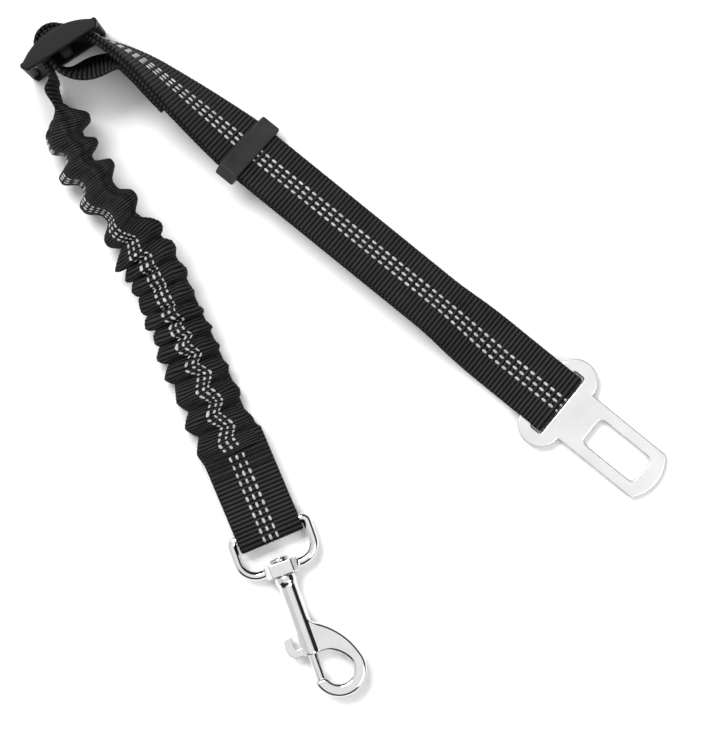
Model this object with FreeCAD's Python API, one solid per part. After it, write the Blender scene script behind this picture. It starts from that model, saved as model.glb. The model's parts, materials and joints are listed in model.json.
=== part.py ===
import FreeCAD, Part
import math
import os

# Elastic car-seat tether for a dog: a belt tongue on a doubled 25 mm webbing strap, a tri-glide
# slider with a keeper ring, a gathered elastic section and a swivel bolt snap.
# It lies on a table as it is stored: both ends flat, the slider and the fold beside it on edge.
# Millimetres, +Z up. Origin: centre of the bounding box, on the table.

Vec = FreeCAD.Vector

# ---- driving dimensions -------------------------------------------------------------------
WEBBING_WIDTH = 25.0
WEBBING_THICKNESS = 1.5
YARN_WIDTH = 1.1
YARN_PITCH = 2.6
YARN_PROUD = 0.25
SKIN_GAP = 0.03                 # thread and yarn lie this far off the cloth that they decorate
THREAD_THICKNESS = 0.35
STITCH_LENGTH, STITCH_WIDTH = 1.8, 21.0     # one row of dense stitches across the webbing
JOIN_STITCH_WIDTH = 20.0

PLATE_THICKNESS = 2.0
BLADE_WIDTH = 21.0
BLADE_REACH = 48.0              # head centre to tip
EAR_RADIUS = 8.4
EAR_SPREAD = 10.5               # head centre to ear centre
SLOT_BACK, SLOT_FRONT = -2.9, 2.4
SLOT_LENGTH = 26.6
WINDOW_START, WINDOW_END = 16.2, 41.0
WINDOW_WIDTH = 11.3
WINDOW_CORNER = 2.0
PLATE_DROOP = 2.2               # degrees: the tip rests on the table
FOLD_PLAY = 0.5                 # plate to webbing, each side
TONGUE_SET_BACK = 1.9           # from the fold's outer end back to the plate's slot

KEEPER_LENGTH = 8.2
KEEPER_WALL = 1.4
KEEPER_BORE = (26.2, 4.2)
KEEPER_ROUND = 0.9
KEEPER_STATION = 151.5          # along the strap from its folded end

SLIDER_SIZE = 33.0              # both along and across the webbing
SLIDER_RAIL_HEIGHT = 3.5
SLIDER_BACK = -2.7
SLIDER_CROWN = 5.3
SLIDER_TIP = -0.4
SLIDER_END_BAR = (12.6, 16.4)   # inner and outer edge, from the middle bar
SLIDER_BAR_THICKNESS = 2.4
SLIDER_BAR_ROUND = 1.0          # corner radius of the three bars
SLIDER_SLANT = 1.5              # how far a rail's ends slant in
SLIDER_RIM_ROUND = 0.6
MIDDLE_BAR = (4.6, 3.2)

ELASTIC_WIDTH, ELASTIC_THICKNESS = 19.0, 2.5
SLEEVE_WIDTH, SLEEVE_THICKNESS = 24.0, 8.8
SLEEVE_WALL = 1.5

EYE_WIRE = 3.5
EYE_INSIDE = 26.4
EYE_LENGTH = 15.5               # top bar centre to collar centre
EYE_TOP_CORNER, EYE_LOW_CORNER = 2.0, 7.0
COLLAR_WIDTH, COLLAR_LENGTH, COLLAR_HEIGHT = 13.0, 5.2, 8.2
STUD_RADIUS = 2.3
RUNNING_CLEARANCE = 0.06
BARREL_RADIUS = 3.65
FLANGE_RADIUS = 4.3
BARREL_START, BARREL_END = 2.8, 34.2
SPRING_START = 8.2
BOLT_RADIUS = 1.85
BOLT_START, BOLT_TIP = 20.5, 44.3
BOLT_TRAVEL = 8.0
LUG_WIDTH = 3.0
LUG_START, LUG_END = 30.7, 33.8
HOOK_CENTRE = (42.9, 7.55)
HOOK_OUTSIDE, HOOK_INSIDE = 10.5, 5.4
HOOK_THICKNESS = 5.2
SNAP_HEIGHT = 4.4               # barrel axis above the table

# ---- how it lies --------------------------------------------------------------------------
STRAP_START = (82.0, -18.4)     # outer end of the fold that holds the tongue
STRAP_HEADING = 141.0
LEAD_STEPS = ((195.0, 0), (90.0, 12.8), (5.0, 0), (20.0, 17.0), (8.4, 0))
WRAP_RADIUS = 5.75              # midway between the two layers on the middle bar
FACE_WRAP_TURN = 127.2
BUNGEE_STEPS = ((5.0, 0), (25.0, -18.0), (8.5, 0), (65.0, 28.0), (21.0, 0), (90.0, -15.1), (103.7, 0))
LOOP_WRAP_TURN = 129.2
LOOP_SWING, LOOP_RETURN, LOOP_LEAN = 17.0, 9.0, 16.0
SLIDER_HEADING = 32.8
SLIDER_OFFSET = (1.4, -1.6)     # the slider's middle bar, along and across it, from the wrap's centre
TAIL_STATIONS = (184.0, 206.0)
TAIL_STITCHES = (187.0, 194.0, 200.0)
BEND_STATIONS = (12.0, 26.0)    # the webbing that bends behind the tongue
TWIST_START, FLAT_END = 26.0, 62.0
KEEPER_ZONE_END, CLIMB_END, TWIST_END = 155.0, 216.0, 225.0
KEEPER_ROLL = 30.0              # degrees that the strap leans where the keeper slides
KEEPER_ZONE_HEIGHT = 10.6
NECK_LENGTH, JOIN_LENGTH = 24.0, 8.0
NECK_LEVEL = 9.0                # the neck keeps its height this far, clear of the slider's lower rail
JOIN_THICKNESS = 4.6            # webbing and sleeve sewn together
JOIN_STITCHES = (1.5, 5.0)
SLEEVE_END, ELASTIC_END = 161.0, 173.0
UNTWIST = ((14.0, 56.0, 15.0), (56.0, 92.0, 53.0), (92.0, 145.0, 22.0))
SNAP_HEADING = -70.3


def ramp(value, start, end):
    """0 before start, 1 after end, and a straight rise between."""
    return min(max((value - start) / (end - start), 0.0), 1.0)


def ease(value, start, end):
    """The same, as a smooth step."""
    k = ramp(value, start, end)
    return k * k * (3.0 - 2.0 * k)


def left_of(heading):
    """Horizontal unit vector to the left of a heading in degrees."""
    a = math.radians(heading + 90.0)
    return Vec(math.cos(a), math.sin(a), 0)


def ahead(heading):
    a = math.radians(heading)
    return Vec(math.cos(a), math.sin(a), 0)


def walk(start, heading, steps, spacing=4.0):
    """Plan stations (distance, point, heading) along steps of (length, 0) or (radius, turn)."""
    stations = [(0.0, start, heading)]
    for size, turn in steps:
        distance, point, heading = stations[-1]
        if turn == 0:
            count = max(1, math.ceil(size / spacing))
            for i in range(1, count + 1):
                run = size * i / count
                stations.append((distance + run, point + ahead(heading) * run, heading))
        else:
            side = math.copysign(1.0, turn)
            centre = point + left_of(heading) * (side * size)
            count = max(3, math.ceil(abs(turn) / 9.0), math.ceil(size * math.radians(abs(turn)) / spacing))
            for i in range(1, count + 1):
                now = heading + turn * i / count
                run = size * math.radians(abs(turn)) * i / count
                stations.append((distance + run, centre - left_of(now) * (side * size), now))
    return stations


def length_of(steps):
    return sum(size if turn == 0 else size * math.radians(abs(turn)) for size, turn in steps)


BAR_STATION = length_of(LEAD_STEPS)
NECK_START = BAR_STATION + length_of(((WRAP_RADIUS, FACE_WRAP_TURN),))
PATH_STEPS = LEAD_STEPS + ((WRAP_RADIUS, FACE_WRAP_TURN),) + BUNGEE_STEPS
PATH_END = length_of(PATH_STEPS)
FOLD_HALF = (PLATE_THICKNESS + WEBBING_THICKNESS) / 2 + FOLD_PLAY
FOLD_HEIGHT = FOLD_HALF + WEBBING_THICKNESS / 2
SLIDER_HEIGHT = SLIDER_SIZE / 2
WRAP_HALF = 0.9                 # half of the distance between the layers' middles at the bar
KEEPER_HALF = 0.95
TAIL_SPACING = WEBBING_THICKNESS + 0.3


def roll_at(s):
    """Lean of the webbing's face from straight up, in degrees: 90 is on edge."""
    if s < BAR_STATION:
        lean = KEEPER_ROLL * ease(s, TWIST_START, FLAT_END)
        return lean + (90.0 - KEEPER_ROLL) * ramp(s, KEEPER_ZONE_END, TWIST_END)
    return 90.0 - sum(turn * ease(s - NECK_START, start, end) for start, end, turn in UNTWIST)


def height_at(s):
    """Height of the strap's middle above the table."""
    if s < NECK_START:
        rise = (KEEPER_ZONE_HEIGHT - FOLD_HEIGHT) * ease(s, TWIST_START, FLAT_END)
        climb = (SLIDER_HEIGHT - KEEPER_ZONE_HEIGHT) * ramp(s, KEEPER_ZONE_END, CLIMB_END)
        return FOLD_HEIGHT + rise + climb
    lean = math.radians(roll_at(s))
    lying = WEBBING_WIDTH / 2 * math.sin(lean) + SLEEVE_THICKNESS / 2 * math.cos(lean)
    k = ease(s - NECK_START, NECK_LEVEL, NECK_LENGTH)
    return SLIDER_HEIGHT * (1.0 - k) + lying * k


def half_gap_at(s):
    """Distance of each layer's middle from the strap's middle."""
    near = FOLD_HALF + (KEEPER_HALF - FOLD_HALF) * ease(s, 14.0, 40.0)
    at_bar = near + (WRAP_HALF - KEEPER_HALF) * ramp(s, KEEPER_ZONE_END, TWIST_END)
    return at_bar * (1.0 - ease(s - NECK_START, 0.0, NECK_LENGTH))


def frame_from(point, heading, roll, height):
    """(centre, across, normal) of a ribbon station."""
    a = math.radians(roll)
    left = left_of(heading)
    across = left * math.cos(a) + Vec(0, 0, math.sin(a))
    normal = Vec(0, 0, math.cos(a)) - left * math.sin(a)
    return Vec(point.x, point.y, height), across, normal


PATH = walk(Vec(STRAP_START[0], STRAP_START[1], 0), STRAP_HEADING, PATH_STEPS)


def plan_at(s):
    """Plan point and heading at distance s along the path."""
    for (s0, p0, h0), (s1, p1, h1) in zip(PATH, PATH[1:]):
        if s <= s1 + 1e-9:
            k = (s - s0) / (s1 - s0)
            turn = math.radians(h1 - h0) * k
            if abs(h1 - h0) < 1e-9:
                return p0 + (p1 - p0) * k, h0
            radius = (s1 - s0) / math.radians(h1 - h0)
            centre = p0 + left_of(h0) * radius
            now = h0 + math.degrees(turn)
            return centre - left_of(now) * radius, now
    raise ValueError("past the end of the path")


def path_frames(start, end, layer=0.0, side=0.0):
    """Stations of a layer between two distances. layer +1 is the face layer, -1 the back layer
    and 0 the middle; side moves it across the webbing."""
    distances = [start] + [s for s, _, _ in PATH if start + 0.3 < s < end - 0.3] + [end]
    frames = []
    for s in distances:
        point, heading = plan_at(s)
        centre, across, normal = frame_from(point, heading, roll_at(s), height_at(s))
        shift = layer * half_gap_at(s)
        frames.append((centre + normal * shift + across * side, across, normal))
    return frames


def lifted(frames, distance):
    return [(centre + normal * distance, across, normal) for centre, across, normal in frames]


def ribbon(frames, width, thickness):
    """Solid strip of constant section through the stations."""
    sections = []
    for centre, across, normal in frames:
        w, n = across * (width / 2), normal * (thickness / 2)
        ring = [centre + w + n, centre - w + n, centre - w - n, centre + w - n]
        sections.append(Part.makePolygon(ring + ring[:1]))
    return Part.makeLoft(sections, True)


def profile_solid(points, low, high):
    """Prism between two heights, of an outline in X and Y."""
    ring = [Vec(x, y, low) for x, y in points]
    return Part.Face(Part.makePolygon(ring + ring[:1])).extrude(Vec(0, 0, high - low))


def box(x0, x1, y0, y1, z0, z1):
    return Part.makeBox(x1 - x0, y1 - y0, z1 - z0, Vec(x0, y0, z0))


def rounded_box(x0, x1, y0, y1, z0, z1, radius, along):
    """Box whose edges along one axis ("X", "Y" or "Z") are rounded."""
    solid = box(x0, x1, y0, y1, z0, z1)
    pick = {"X": Vec(1, 0, 0), "Y": Vec(0, 1, 0), "Z": Vec(0, 0, 1)}[along]
    edges = [e for e in solid.Edges if abs(e.tangentAt(e.FirstParameter).dot(pick)) > 0.99]
    return solid.makeFillet(radius, edges)


def placed(shape, origin, heading):
    """Moves a shape from its own frame, X forwards and Y left, to where it lies."""
    moved = shape.copy()
    turn = FreeCAD.Rotation(Vec(0, 0, 1), heading)
    moved.Placement = FreeCAD.Placement(origin, turn).multiply(moved.Placement)
    return moved


def tongue_frame(shape):
    """Tongue parts: X towards the tip, from the head's centre, Z from the table."""
    heading = STRAP_HEADING - 180.0
    start = Vec(STRAP_START[0], STRAP_START[1], 0) - ahead(heading) * TONGUE_SET_BACK
    return placed(shape, start, heading)


def tongue_plate():
    low, high = -PLATE_THICKNESS / 2, PLATE_THICKNESS / 2
    half = BLADE_WIDTH / 2
    ears = [Part.makeCylinder(EAR_RADIUS, PLATE_THICKNESS, Vec(0, y, low)) for y in (-EAR_SPREAD, EAR_SPREAD)]
    head = box(-EAR_RADIUS, EAR_RADIUS, -EAR_SPREAD, EAR_SPREAD, low, high)
    shoulder = BLADE_REACH - 4.0
    corner = Vec(shoulder, half, low)
    other = Vec(shoulder, -half, low)
    root_a, root_b = Vec(0, half, low), Vec(0, -half, low)
    outline = [
        Part.LineSegment(root_b, other).toShape(),
        Part.Arc(other, Vec(BLADE_REACH, 0, low), corner).toShape(),
        Part.LineSegment(corner, root_a).toShape(),
        Part.LineSegment(root_a, root_b).toShape(),
    ]
    blade = Part.Face(Part.Wire(outline)).extrude(Vec(0, 0, PLATE_THICKNESS))
    body = blade.fuse([head] + ears).removeSplitter()
    slot = rounded_box(SLOT_BACK, SLOT_FRONT, -SLOT_LENGTH / 2, SLOT_LENGTH / 2, low - 1, high + 1, 1.2, "Z")
    half_window = WINDOW_WIDTH / 2
    window = rounded_box(
        WINDOW_START, WINDOW_END, -half_window, half_window, low - 1, high + 1, WINDOW_CORNER, "Z"
    )
    body = body.cut(slot).cut(window)
    rims = [e for e in body.Edges if abs(abs(e.CenterOfMass.z) - high) < 1e-6]
    body = body.makeChamfer(0.25, rims)
    droop = FreeCAD.Rotation(Vec(0, 1, 0), PLATE_DROOP)
    pivot = Vec(-1.1, 0, 0)
    body.Placement = FreeCAD.Placement(Vec(0, 0, FOLD_HEIGHT), droop, pivot)
    return tongue_frame(body)


def fold_profile(end, back, half, thickness, width, height):
    """Webbing folded back on itself: a U in side view, its round end at X = end."""
    outer = half + thickness / 2
    inner = half - thickness / 2
    round_x = end - outer
    hull = box(back, round_x, -width / 2, width / 2, height - outer, height + outer)
    cap = Part.makeCylinder(outer, width, Vec(round_x, -width / 2, height), Vec(0, 1, 0))
    hollow = box(back - 1, round_x, -width / 2 - 1, width / 2 + 1, height - inner, height + inner)
    bore = Part.makeCylinder(inner, width + 2, Vec(round_x, -width / 2 - 1, height), Vec(0, 1, 0))
    return hull.fuse(cap).cut(hollow.fuse(bore)).removeSplitter()


def tongue_fold():
    back = TONGUE_SET_BACK - BEND_STATIONS[0]
    shape = fold_profile(TONGUE_SET_BACK, back, FOLD_HALF, WEBBING_THICKNESS, WEBBING_WIDTH, FOLD_HEIGHT)
    return tongue_frame(shape)


def webbing_layer(start, end, layer):
    return ribbon(path_frames(start, end, layer), WEBBING_WIDTH, WEBBING_THICKNESS)


def yarn_rows(start, end, layer, base):
    """Three rows of reflective yarn, standing just proud of the face."""
    rows = []
    for row in (-1, 0, 1):
        frames = path_frames(start, end, layer, row * YARN_PITCH)
        rows.append(ribbon(lifted(frames, base + SKIN_GAP + YARN_PROUD / 2), YARN_WIDTH, YARN_PROUD))
    return Part.makeCompound(rows)


def wrap_centre():
    point, heading = plan_at(BAR_STATION)
    middle = point + left_of(heading) * WRAP_RADIUS
    return Vec(middle.x, middle.y, 0)


def bar_centre():
    along, across = SLIDER_OFFSET
    return wrap_centre() + ahead(SLIDER_HEADING) * along + left_of(SLIDER_HEADING) * across


def tail_frames():
    """End of the adjuster webbing, sewn under the back layer; runs from the bar to the tongue."""
    frames = path_frames(TAIL_STATIONS[0], TAIL_STATIONS[1], -1.0)
    under = lifted(frames, -TAIL_SPACING)
    return [(centre, across, normal * -1.0) for centre, across, normal in reversed(under)]


def adjuster_loop():
    """Sewn loop on the slider's middle bar: round the bar, then a free limb, then the sewn tail."""
    _, heading = plan_at(BAR_STATION)
    inner = WRAP_RADIUS - WRAP_HALF
    start = wrap_centre() - left_of(heading) * inner
    wrap = walk(start, heading, ((inner, LOOP_WRAP_TURN),))
    frames = [frame_from(point, now, 90.0, SLIDER_HEIGHT) for _, point, now in wrap]
    tail = tail_frames()
    leave, arrive = ahead(wrap[-1][2]), (tail[1][0] - tail[0][0]).normalize()
    curve = Part.BezierCurve()
    leaving, arriving = frames[-1][0], tail[0][0]
    curve.setPoles([leaving, leaving + leave * LOOP_SWING, arriving - arrive * LOOP_RETURN, arriving])
    end_roll = 180.0 - roll_at(TAIL_STATIONS[1])
    count = 14
    for i in range(1, count):
        point, direction = curve.value(i / count), curve.tangent(i / count)[0]
        now = math.degrees(math.atan2(direction.y, direction.x))
        roll = 90.0 + (end_roll - 90.0) * ease(i, 0, count) + LOOP_LEAN * math.sin(math.pi * i / count) ** 2
        frames.append(frame_from(point, now, roll, point.z))
    return ribbon(frames + tail, WEBBING_WIDTH, WEBBING_THICKNESS)


def stitch_bars(frames_at, positions, length, width, base):
    """Short dense rows of thread across the webbing, on its surface."""
    bars = []
    for s in positions:
        frames = lifted(frames_at(s, s + length), base + SKIN_GAP + THREAD_THICKNESS / 2)
        bars.append(ribbon(frames, width, THREAD_THICKNESS))
    return Part.makeCompound(bars)


def loop_bartack():
    def under_tail(a, b):
        frames = lifted(path_frames(a, b, -1.0), -TAIL_SPACING)
        return [(centre, across, normal * -1.0) for centre, across, normal in frames]

    return stitch_bars(under_tail, TAIL_STITCHES, STITCH_LENGTH, STITCH_WIDTH, WEBBING_THICKNESS / 2)


def keeper_ring():
    half_bore, half_gap = KEEPER_BORE[0] / 2, KEEPER_BORE[1] / 2
    half_length = KEEPER_LENGTH / 2
    wide, tall = half_bore + KEEPER_WALL, half_gap + KEEPER_WALL
    block = box(-half_length, half_length, -wide, wide, -tall, tall)
    block = block.makeFillet(KEEPER_ROUND, block.Edges)
    bore = rounded_box(-9, 9, -half_bore, half_bore, -half_gap, half_gap, 0.8, "X")
    ring = block.cut(bore)
    ring.rotate(Vec(0, 0, 0), Vec(1, 0, 0), KEEPER_ROLL)
    point, heading = plan_at(KEEPER_STATION)
    return placed(ring, Vec(point.x, point.y, height_at(KEEPER_STATION)), heading)


def slider_frame():
    """Tri-glide: two arched side rails and three bars, moulded in one piece."""
    half = SLIDER_SIZE / 2
    outline = [
        Part.LineSegment(Vec(-half, SLIDER_TIP, 0), Vec(-half + SLIDER_SLANT, SLIDER_BACK, 0)).toShape(),
        Part.LineSegment(Vec(-half + SLIDER_SLANT, SLIDER_BACK, 0), Vec(half - SLIDER_SLANT, SLIDER_BACK, 0)).toShape(),
        Part.LineSegment(Vec(half - SLIDER_SLANT, SLIDER_BACK, 0), Vec(half, SLIDER_TIP, 0)).toShape(),
        Part.Arc(Vec(half, SLIDER_TIP, 0), Vec(0, SLIDER_CROWN, 0), Vec(-half, SLIDER_TIP, 0)).toShape(),
    ]
    section = Part.Face(Part.Wire(outline))
    rails = []
    for low in (0.0, SLIDER_SIZE - SLIDER_RAIL_HEIGHT):
        rail = section.extrude(Vec(0, 0, SLIDER_RAIL_HEIGHT))
        rim = low + (SLIDER_RAIL_HEIGHT if low else 0.0)
        rail.translate(Vec(0, 0, low))
        edges = [e for e in rail.Edges if abs(e.CenterOfMass.z - rim) < 1e-6]
        rails.append(rail.makeFillet(SLIDER_RIM_ROUND, edges))
    inset = SLIDER_RAIL_HEIGHT / 2
    top = SLIDER_SIZE - inset
    bars = []
    flat = SLIDER_BAR_THICKNESS / 2
    for side in (-1, 1):
        edges = sorted((side * SLIDER_END_BAR[0], side * SLIDER_END_BAR[1]))
        bars.append(rounded_box(edges[0], edges[1], -flat, flat, inset, top, SLIDER_BAR_ROUND, "Z"))
    wide, deep = MIDDLE_BAR[0] / 2, MIDDLE_BAR[1] / 2
    bars.append(rounded_box(-wide, wide, -deep, deep, inset, top, SLIDER_BAR_ROUND, "Z"))
    frame = rails[0].fuse([rails[1]] + bars)
    return placed(frame, bar_centre(), SLIDER_HEADING)


def bungee(start, end):
    """Stations of the elastic section, by distance from the slider's bar."""
    return path_frames(NECK_START + start, NECK_START + end)


def webbing_neck():
    end = NECK_START + NECK_LENGTH
    return ribbon(path_frames(NECK_START, end, 1.0), WEBBING_WIDTH, WEBBING_THICKNESS)


def sleeve_join():
    return ribbon(bungee(NECK_LENGTH, NECK_LENGTH + JOIN_LENGTH), SLEEVE_WIDTH, JOIN_THICKNESS)


def sleeve_join_bartack():
    positions = [NECK_LENGTH + from_neck for from_neck in JOIN_STITCHES]
    return stitch_bars(bungee, positions, STITCH_LENGTH, JOIN_STITCH_WIDTH, JOIN_THICKNESS / 2)


def bungee_sleeve():
    start = NECK_LENGTH + JOIN_LENGTH
    outer = ribbon(bungee(start, SLEEVE_END), SLEEVE_WIDTH, SLEEVE_THICKNESS)
    wide, deep = SLEEVE_WIDTH - 2 * SLEEVE_WALL, SLEEVE_THICKNESS - 2 * SLEEVE_WALL
    return outer.cut(ribbon(bungee(start - 1, SLEEVE_END + 1), wide, deep))


def elastic_core():
    frames = bungee(NECK_LENGTH + JOIN_LENGTH, ELASTIC_END)
    return ribbon(frames, ELASTIC_WIDTH, ELASTIC_THICKNESS)


def tab_frame(shape):
    """Tab parts: X towards the snap from the sleeve's end, Z from the table."""
    point, heading = plan_at(NECK_START + SLEEVE_END)
    return placed(shape, point, heading)


TAB_LENGTH = PATH_END - NECK_START - SLEEVE_END
TAB_HALF = EYE_WIRE / 2 + 0.3 + WEBBING_THICKNESS / 2
BAR_TO_TAB_END = 5.0


def end_tab():
    """Webbing folded round the eye's top bar, and sewn shut behind it."""
    narrow = ELASTIC_THICKNESS / 2 + 0.2
    outer, inner = TAB_HALF + WEBBING_THICKNESS / 2, TAB_HALF - WEBBING_THICKNESS / 2
    round_x = TAB_LENGTH - outer
    taper = round_x - 5.0
    pinch = taper - 9.0
    thin = narrow + WEBBING_THICKNESS
    half = WEBBING_WIDTH / 2
    hull = [(0, -thin), (pinch, -thin), (taper, -outer), (round_x, -outer)]
    hull += [(x, -z) for x, z in reversed(hull)]
    void = [(-1, -narrow), (pinch, -narrow), (taper, -inner), (round_x, -inner)]
    void += [(x, -z) for x, z in reversed(void)]
    solid = profile_solid(hull, -half, half).fuse(Part.makeCylinder(outer, 2 * half, Vec(round_x, 0, -half)))
    hole = profile_solid(void, -half - 1, half + 1)
    hole = hole.fuse(Part.makeCylinder(inner, 2 * half + 2, Vec(round_x, 0, -half - 1)))
    tab = solid.cut(hole).removeSplitter()
    tab.rotate(Vec(0, 0, 0), Vec(1, 0, 0), 90)
    tab.translate(Vec(0, 0, SNAP_HEIGHT))
    return tab_frame(tab)


def end_tab_bartack():
    """Rows of thread across the tab's face, where the elastic's end is sewn in."""
    top = SNAP_HEIGHT + ELASTIC_THICKNESS / 2 + 0.2 + WEBBING_THICKNESS + SKIN_GAP
    rows = [box(x, x + 1.6, -11, 11, top, top + THREAD_THICKNESS) for x in (3.0, 7.0, 11.0)]
    return tab_frame(Part.makeCompound(rows))


def tab_reflective_yarns():
    """Three rows along the tab's face, following its taper to the eye."""
    thin = ELASTIC_THICKNESS / 2 + 0.2 + WEBBING_THICKNESS
    outer = TAB_HALF + WEBBING_THICKNESS / 2
    round_x = TAB_LENGTH - outer
    taper = round_x - 5.0
    pinch = taper - 9.0
    low = SKIN_GAP + THREAD_THICKNESS + SKIN_GAP
    line = [(14.0, thin), (pinch, thin), (taper, outer), (round_x, outer)]
    outline = [(x, z + low) for x, z in line] + [(x, z + low + YARN_PROUD) for x, z in reversed(line)]
    rows = []
    for row in (-1, 0, 1):
        strip = profile_solid(outline, row * YARN_PITCH - YARN_WIDTH / 2, row * YARN_PITCH + YARN_WIDTH / 2)
        strip.rotate(Vec(0, 0, 0), Vec(1, 0, 0), 90)
        strip.translate(Vec(0, 0, SNAP_HEIGHT))
        rows.append(strip)
    return tab_frame(Part.makeCompound(rows))


def snap_origin():
    """Centre of the eye's collar: the swivel's origin."""
    point, heading = plan_at(PATH_END)
    bar = point - ahead(heading) * BAR_TO_TAB_END
    middle = bar + ahead(SNAP_HEADING) * EYE_LENGTH
    return Vec(middle.x, middle.y, SNAP_HEIGHT)


def snap_frame(shape):
    """Snap parts: X from the collar towards the hook, Y left, Z up from the barrel's axis."""
    return placed(shape, snap_origin(), SNAP_HEADING)


def wire_arc(centre, radius, start, end):
    """Horizontal arc between two angles in degrees, counter-clockwise."""
    def at(angle):
        a = math.radians(angle)
        return Vec(centre[0] + radius * math.cos(a), centre[1] + radius * math.sin(a), 0)

    return Part.Arc(at(start), at((start + end) / 2), at(end)).toShape()


def swivel_eye():
    """Cast ring: a rounded rectangle of round wire with a faceted collar for the swivel."""
    half = (EYE_INSIDE + EYE_WIRE) / 2
    top, a, b = -EYE_LENGTH, EYE_TOP_CORNER, EYE_LOW_CORNER
    path = Part.Wire([
        Part.LineSegment(Vec(top, 0, 0), Vec(top, half - a, 0)).toShape(),
        Part.Arc(
            Vec(top, half - a, 0),
            Vec(top + a * (1 - math.sqrt(0.5)), half - a * (1 - math.sqrt(0.5)), 0),
            Vec(top + a, half, 0),
        ).toShape(),
        Part.LineSegment(Vec(top + a, half, 0), Vec(-b, half, 0)).toShape(),
        wire_arc((-b, half - b), b, 90, 0),
        Part.LineSegment(Vec(0, half - b, 0), Vec(0, 0, 0)).toShape(),
    ])
    ring = Part.Wire([Part.Circle(Vec(top, 0, 0), Vec(0, 1, 0), EYE_WIRE / 2).toShape()])
    right = path.makePipeShell([ring], True, True)
    left = right.mirror(Vec(0, 0, 0), Vec(0, 1, 0))
    wide, tall, long = COLLAR_WIDTH / 2, COLLAR_HEIGHT / 2, COLLAR_LENGTH / 2
    collar = box(-long, long, -wide, wide, -tall, tall)
    ends = [e for e in collar.Edges if abs(abs(e.CenterOfMass.y) - wide) < 1e-6]
    sides = [e for e in ends if abs(e.tangentAt(e.FirstParameter).x) > 0.9]
    collar = collar.makeChamfer(2.4, sides)
    body = right.fuse([left, collar])
    bore = Part.makeCylinder(STUD_RADIUS + RUNNING_CLEARANCE, 12, Vec(-6, 0, 0), Vec(1, 0, 0))
    return snap_frame(body.cut(bore))


def swivel_rivet():
    """Hollow rivet: its shank is fast in the barrel and turns in the collar; its head is peened."""
    head_x = -COLLAR_LENGTH / 2 - 0.15
    shank = Part.makeCylinder(STUD_RADIUS, SPRING_START - 0.2 - head_x, Vec(head_x, 0, 0), Vec(1, 0, 0))
    head = Part.makeCylinder(3.6, 1.3, Vec(head_x - 1.3, 0, 0), Vec(1, 0, 0))
    head = head.makeFillet(0.5, [head.Edges[0], head.Edges[2]])
    cup = Part.makeCone(2.2, 1.3, 4.0, Vec(head_x - 1.4, 0, 0), Vec(1, 0, 0))
    return snap_frame(shank.fuse(head).cut(cup).removeSplitter())


def hook_profile():
    """Outline of the arm and hook in plan, from the barrel round to the tip."""
    cx, cy = HOOK_CENTRE
    tip_x = BOLT_TIP + 0.2

    def on(radius, x, side):
        return Vec(x, cy + side * math.sqrt(radius ** 2 - (x - cx) ** 2), 0)

    barrel_root = Vec(19.0, 1.0, 0)
    shoulder = Vec(22.3, BARREL_RADIUS, 0)
    crest = on(HOOK_OUTSIDE, 39.5, 1)
    tip_out, tip_in = on(HOOK_OUTSIDE, tip_x, -1), on(HOOK_INSIDE, tip_x, -1)
    arm_in = on(HOOK_INSIDE, 40.6, 1)
    corner = Vec(BARREL_END, BARREL_RADIUS - 0.2, 0)
    inner_root = Vec(BARREL_END, BOLT_RADIUS + 1.2, 0)
    edges = [
        Part.LineSegment(barrel_root, shoulder).toShape(),
        Part.Arc(shoulder, Vec(29.8, 12.6, 0), crest).toShape(),
        Part.Arc(crest, Vec(cx + HOOK_OUTSIDE, cy, 0), tip_out).toShape(),
        Part.LineSegment(tip_out, tip_in).toShape(),
        Part.Arc(tip_in, Vec(cx + HOOK_INSIDE, cy, 0), arm_in).toShape(),
        Part.Arc(arm_in, Vec(36.2, 8.6, 0), corner).toShape(),
        Part.LineSegment(corner, inner_root).toShape(),
        Part.LineSegment(inner_root, Vec(22.0, BOLT_RADIUS + 1.2, 0)).toShape(),
        Part.LineSegment(Vec(22.0, BOLT_RADIUS + 1.2, 0), barrel_root).toShape(),
    ]
    return Part.Face(Part.Wire(edges))


def snap_body():
    """Barrel with its slot and bore, and the arm and hook that it runs into."""
    axis = Vec(1, 0, 0)
    barrel = Part.makeCylinder(BARREL_RADIUS, BARREL_END - BARREL_START, Vec(BARREL_START, 0, 0), axis)
    flange = Part.makeCylinder(FLANGE_RADIUS, 2.4, Vec(BARREL_START, 0, 0), axis)
    taper = Part.makeCone(FLANGE_RADIUS, BARREL_RADIUS, 1.6, Vec(BARREL_START + 2.4, 0, 0), axis)
    arm = hook_profile().extrude(Vec(0, 0, HOOK_THICKNESS))
    arm.translate(Vec(0, 0, -HOOK_THICKNESS / 2))
    curved = [
        e for e in arm.Edges
        if abs(abs(e.CenterOfMass.z) - HOOK_THICKNESS / 2) < 1e-6 and e.Curve.TypeId == "Part::GeomCircle"
    ]
    arm = arm.makeFillet(1.5, curved)
    body = barrel.fuse([flange, taper, arm])
    bore = Part.makeCylinder(BOLT_RADIUS + RUNNING_CLEARANCE, 40, Vec(SPRING_START, 0, 0), axis)
    bore = bore.common(box(SPRING_START - 1, BARREL_END + 0.01, -5, 5, -5, 5))
    socket = Part.makeCylinder(STUD_RADIUS, SPRING_START - BARREL_START + 0.01, Vec(BARREL_START, 0, 0), axis)
    gate_start = LUG_START - BOLT_TRAVEL - 0.7
    slot = box(gate_start, BARREL_END + 1, -6, 0, -LUG_WIDTH / 2 - 0.2, LUG_WIDTH / 2 + 0.2)
    return snap_frame(body.cut(bore.fuse([socket, slot])))


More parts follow.
